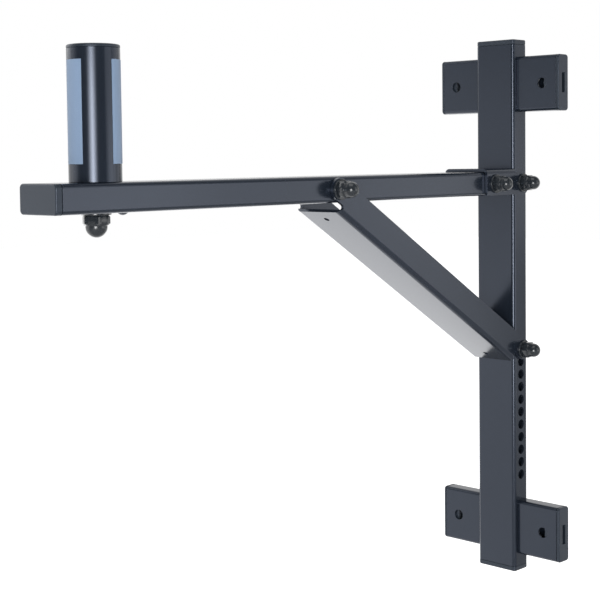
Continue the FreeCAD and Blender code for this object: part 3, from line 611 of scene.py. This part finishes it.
CAP_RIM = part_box("pole_cap")[1].z / MM - POLE_END
CAP_EDGE, CAP_SEAM = 1.2, 0.15
CAP_WALL, CAP_PLUG, CAP_PLAY = 1.8, 13.0, 0.2
plug_radius = bore_radius - CAP_PLAY
turn("pole_cap_moulding",
     [(0, 0), (plug_radius - CAP_WALL, 0), (plug_radius - CAP_WALL, -CAP_PLUG), (plug_radius, -CAP_PLUG),
      (plug_radius, 0), (POLE_RADIUS - CAP_SEAM, 0), (POLE_RADIUS, CAP_SEAM),
      *arc(POLE_RADIUS - CAP_EDGE, CAP_RIM - CAP_EDGE, CAP_EDGE, 0, 90, 6), (0, CAP_RIM)],
     [(POLE_X, POLE_Y, POLE_END)], ["pole_cap"], "bracket", "black_plastic", plastic,
     steps_round=POLE_STEPS)

# Pole bolt
# An M10 bolt with its head inside the pole's foot, drawn down through plug and arm by a dome nut.
# Plated black like the cross bolts, with a washer between the arm and the nut.

M10_ACROSS, M10_NUT_ACROSS, M10_HEAD = 16, 17, 6.4
M10_PITCH, M10_THREAD_FROM = 1.5, 17
ARM_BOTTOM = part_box("arm_tube")[0].z / MM
bolt_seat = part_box("pole_bolt")[1].z / MM - M10_HEAD
nut_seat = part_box("pole_nut")[1].z / MM
M10_PROFILE = bolt_profile(diameter=10, length=43, across=M10_ACROSS, head=M10_HEAD,
                           thread_from=M10_THREAD_FROM, pitch=M10_PITCH)
M10_WASHER = washer_profile(bore=10.4, diameter=20, thickness=1.5)
M10_NUT = nut_profile(bore=10.2, bore_depth=12.5, across=M10_NUT_ACROSS, hexagon=6.6, dome=14.5, length=15)
turn("pole_hex_bolt", M10_PROFILE, [(POLE_X, POLE_Y, bolt_seat)], ["pole_bolt"], "bracket",
     "black_fastener", black_zinc, DOWN,
     across_flats=M10_ACROSS * MM, thread_pitch=M10_PITCH * MM, thread_depth=1.6 * MM,
     thread_start=M10_THREAD_FROM * MM)
turn("pole_bolt_washer", M10_WASHER, [(POLE_X, POLE_Y, ARM_BOTTOM)], ["pole_washer"], "bracket",
     "black_fastener", black_zinc, DOWN)
turn("pole_dome_nut", M10_NUT, [(POLE_X, POLE_Y, nut_seat)], ["pole_nut"], "bracket", "black_fastener",
     black_zinc, DOWN, across_flats=M10_NUT_ACROSS * MM, corner_softness=0.4 * MM)

# Hole plug under the arm
# A small domed plug pressed into a hole in the arm's underside, between the pole and the wall.
# Moulded polyethylene.

BUTTON_RADIUS, BUTTON_RISE, BUTTON_STEM, BUTTON_LENGTH = 4.0, 2.4, 2.8, 5.0
plug_low, plug_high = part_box("arm_button")
plug_x, plug_y = (plug_low.x + plug_high.x) / 2 / MM, (plug_low.y + plug_high.y) / 2 / MM
dome_radius = (BUTTON_RADIUS ** 2 + BUTTON_RISE ** 2) / (2 * BUTTON_RISE)
first_angle = math.degrees(math.acos(BUTTON_RADIUS / dome_radius))
turn("arm_hole_plug",
     [(0, -BUTTON_LENGTH), (BUTTON_STEM, -BUTTON_LENGTH), (BUTTON_STEM, 0), (BUTTON_RADIUS, 0),
      *arc(0, BUTTON_RISE - dome_radius, dome_radius, first_angle, 90, 8)],
     [(plug_x, plug_y, ARM_BOTTOM)], ["arm_button"], "bracket", "black_plastic", plastic, DOWN,
     steps_round=48)

# Studio
# A pale floor well below the hanging bracket, soft lamps, and one strip lamp behind the camera
# that draws the upright highlights. The white behind the object is the floor's and the world's own.


def white_to_eye(tree, place, white_side, dim, full, glow):
    """1 for the rays that show the white background: seen directly, in gloss or through glass.

    In gloss it fades from full to dim away from the white side, down to glow, as a studio does
    where its paper ends.
    """
    path = add(tree, "ShaderNodeLightPath").outputs
    behind = add(tree, "ShaderNodeVectorMath", {0: place, 1: white_side}, operation="DOT_PRODUCT")
    paper = add(tree, "ShaderNodeMapRange", {"Value": behind.outputs["Value"], "From Min": dim,
                                             "From Max": full, "To Min": glow})
    gloss = add(tree, "ShaderNodeMath", {0: path["Is Glossy Ray"], 1: paper.outputs["Result"]},
                operation="MULTIPLY")
    either = add(tree, "ShaderNodeMath", {0: path["Is Camera Ray"], 1: gloss.outputs[0]},
                 operation="MAXIMUM")
    seen = add(tree, "ShaderNodeMath", {0: either.outputs[0], 1: path["Is Transmission Ray"]},
               operation="MAXIMUM")
    return seen.outputs[0]


# The world: white to the eye, half as bright for the light that it sheds on matt surfaces.
SKY_SIDE, SKY_DIM, SKY_FULL, SKY_GLOW = (-0.80, 0.60, -0.60), -0.4, 0.1, 0.1
SKY_LIGHT = 0.5
WHITE = "#ffffff"
world = bpy.data.worlds.new("studio_world")
bpy.context.scene.world = world
world.use_nodes = True
tree = world.node_tree
tree.nodes.clear()
way = add(tree, "ShaderNodeTexCoord").outputs["Generated"]
gloss_ray = add(tree, "ShaderNodeLightPath").outputs["Is Glossy Ray"]
on_matt = add(tree, "ShaderNodeMapRange", {"Value": gloss_ray, "To Min": SKY_LIGHT, "To Max": 0.0})
level = add(tree, "ShaderNodeMath", {0: white_to_eye(tree, way, SKY_SIDE, SKY_DIM, SKY_FULL, SKY_GLOW),
                                     1: on_matt.outputs["Result"]}, operation="MAXIMUM")
sky = add(tree, "ShaderNodeBackground", {"Color": linear(WHITE), "Strength": level.outputs[0]})
add(tree, "ShaderNodeOutputWorld", {"Surface": sky.outputs[0]})

# The floor: white paper, lifted to the background's white where the eye sees it.
FLOOR_DROP, FLOOR_REACH = 0.30, 8
FLOOR_SIDE, FLOOR_DIM, FLOOR_FULL, FLOOR_GLOW = (-0.90, 0.44, 0.0), -0.10, 0.14, 0.0
FLOOR_LIFT = 0.85
PAPER = "#d8d8d8"
floor_level = cad_low.z - FLOOR_DROP
floor_corners = [(x * FLOOR_REACH, y * FLOOR_REACH, floor_level)
                 for x, y in ((-1, -1), (1, -1), (1, 1), (-1, 1))]
floor_mesh = bpy.data.meshes.new("floor")
floor_mesh.from_pydata(floor_corners, [], [(0, 1, 2, 3)])
floor = bpy.data.objects.new("floor", floor_mesh)
bpy.context.scene.collection.objects.link(floor)
floor_paper, tree, place = new_finish("white_paper_floor")
seen_white = white_to_eye(tree, place, FLOOR_SIDE, FLOOR_DIM, FLOOR_FULL, FLOOR_GLOW)
lift = add(tree, "ShaderNodeMath", {0: seen_white, 1: FLOOR_LIFT}, operation="MULTIPLY")
paper = add(tree, "ShaderNodeBsdfPrincipled", {
    "Base Color": linear(PAPER), "Roughness": 0.9, "Emission Color": linear(WHITE),
    "Emission Strength": lift.outputs[0]})
add(tree, "ShaderNodeOutputMaterial", {"Surface": paper.outputs["BSDF"]})
floor_mesh.materials.append(floor_paper)
floor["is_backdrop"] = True

# The lamps, all aimed at the bracket: azimuth from plus X towards plus Y and elevation in degrees,
# distance, width and height in metres, power in watts.
AIM = (0.0, -0.22, 0.02)
LAMPS = {
    "lamp_right": (23, 12, 2.6, 1.5, 2.0, 9),
    "lamp_strip": (-50, -2, 2.6, 1.9, 1.0, 116),
    "lamp_side": (36, -6.5, 2.6, 1.8, 1.04, 6.3),
    "lamp_front": (225, -3, 2.6, 1.8, 1.0, 2.3),
    "lamp_left": (200, 25, 2.6, 1.6, 1.6, 12),
    "lamp_top": (-60, 75, 2.2, 1.8, 1.8, 16),
    "lamp_low": (148, -38, 0.85, 1.2, 0.8, 3.4),
}
for name, (azimuth, elevation, distance, width, height, power) in LAMPS.items():
    lamp = bpy.data.lights.new(name, "AREA")
    lamp.shape = "RECTANGLE"
    lamp.size, lamp.size_y, lamp.energy = width, height, power
    holder = bpy.data.objects.new(name, lamp)
    bpy.context.scene.collection.objects.link(holder)
    turned_by, lifted_by = math.radians(azimuth), math.radians(elevation)
    holder.location = (AIM[0] + distance * math.cos(turned_by) * math.cos(lifted_by),
                       AIM[1] + distance * math.sin(turned_by) * math.cos(lifted_by),
                       AIM[2] + distance * math.sin(lifted_by))
    holder.rotation_euler = (math.radians(90) - lifted_by, 0, turned_by + math.radians(90))
    holder.visible_camera = False

# The strip lamp is brightest in its middle and fades to nothing at both sides, as a lamp behind cloth
# does, so that the streak it draws down the pole has a soft edge.
FADE_POWER = 1.5
strip = bpy.data.lights["lamp_strip"]
strip.use_nodes = True
tree = strip.node_tree
tree.nodes.clear()
on_lamp = add(tree, "ShaderNodeSeparateXYZ", {0: add(tree, "ShaderNodeNewGeometry").outputs["Parametric"]})
from_side = add(tree, "ShaderNodeMath", {0: on_lamp.outputs["X"], 1: 0.5}, operation="PINGPONG")
share = add(tree, "ShaderNodeMath", {0: from_side.outputs[0], 1: 2.0}, operation="MULTIPLY")
level = add(tree, "ShaderNodeMath", {0: share.outputs[0], 1: FADE_POWER}, operation="POWER")
glow = add(tree, "ShaderNodeEmission", {"Strength": level.outputs[0]})
add(tree, "ShaderNodeOutputLight", {"Surface": glow.outputs[0]})

# Camera
# It stands to the right of the arm, a little above it, where the photograph was taken from.

CAMERA_AT = (0.72346, -1.01087, 0.13556)
CAMERA_YAW, CAMERA_PITCH, CAMERA_ROLL = math.radians(44.232), math.radians(-3.076), math.radians(-0.667)
LENS, SENSOR, SHIFT = 82.440, 36.0, -0.1168
camera = bpy.data.objects.new("camera", bpy.data.cameras.new("camera"))
bpy.context.scene.collection.objects.link(camera)
camera.data.sensor_width, camera.data.lens, camera.data.shift_y = SENSOR, LENS, SHIFT
camera.matrix_world = (Matrix.Translation(CAMERA_AT) @ Matrix.Rotation(CAMERA_YAW, 4, "Z")
                       @ Matrix.Rotation(math.radians(90) + CAMERA_PITCH, 4, "X")
                       @ Matrix.Rotation(CAMERA_ROLL, 4, "Z"))
bpy.context.scene.camera = camera
bpy.context.scene.view_settings.view_transform = "Standard"

low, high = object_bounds()
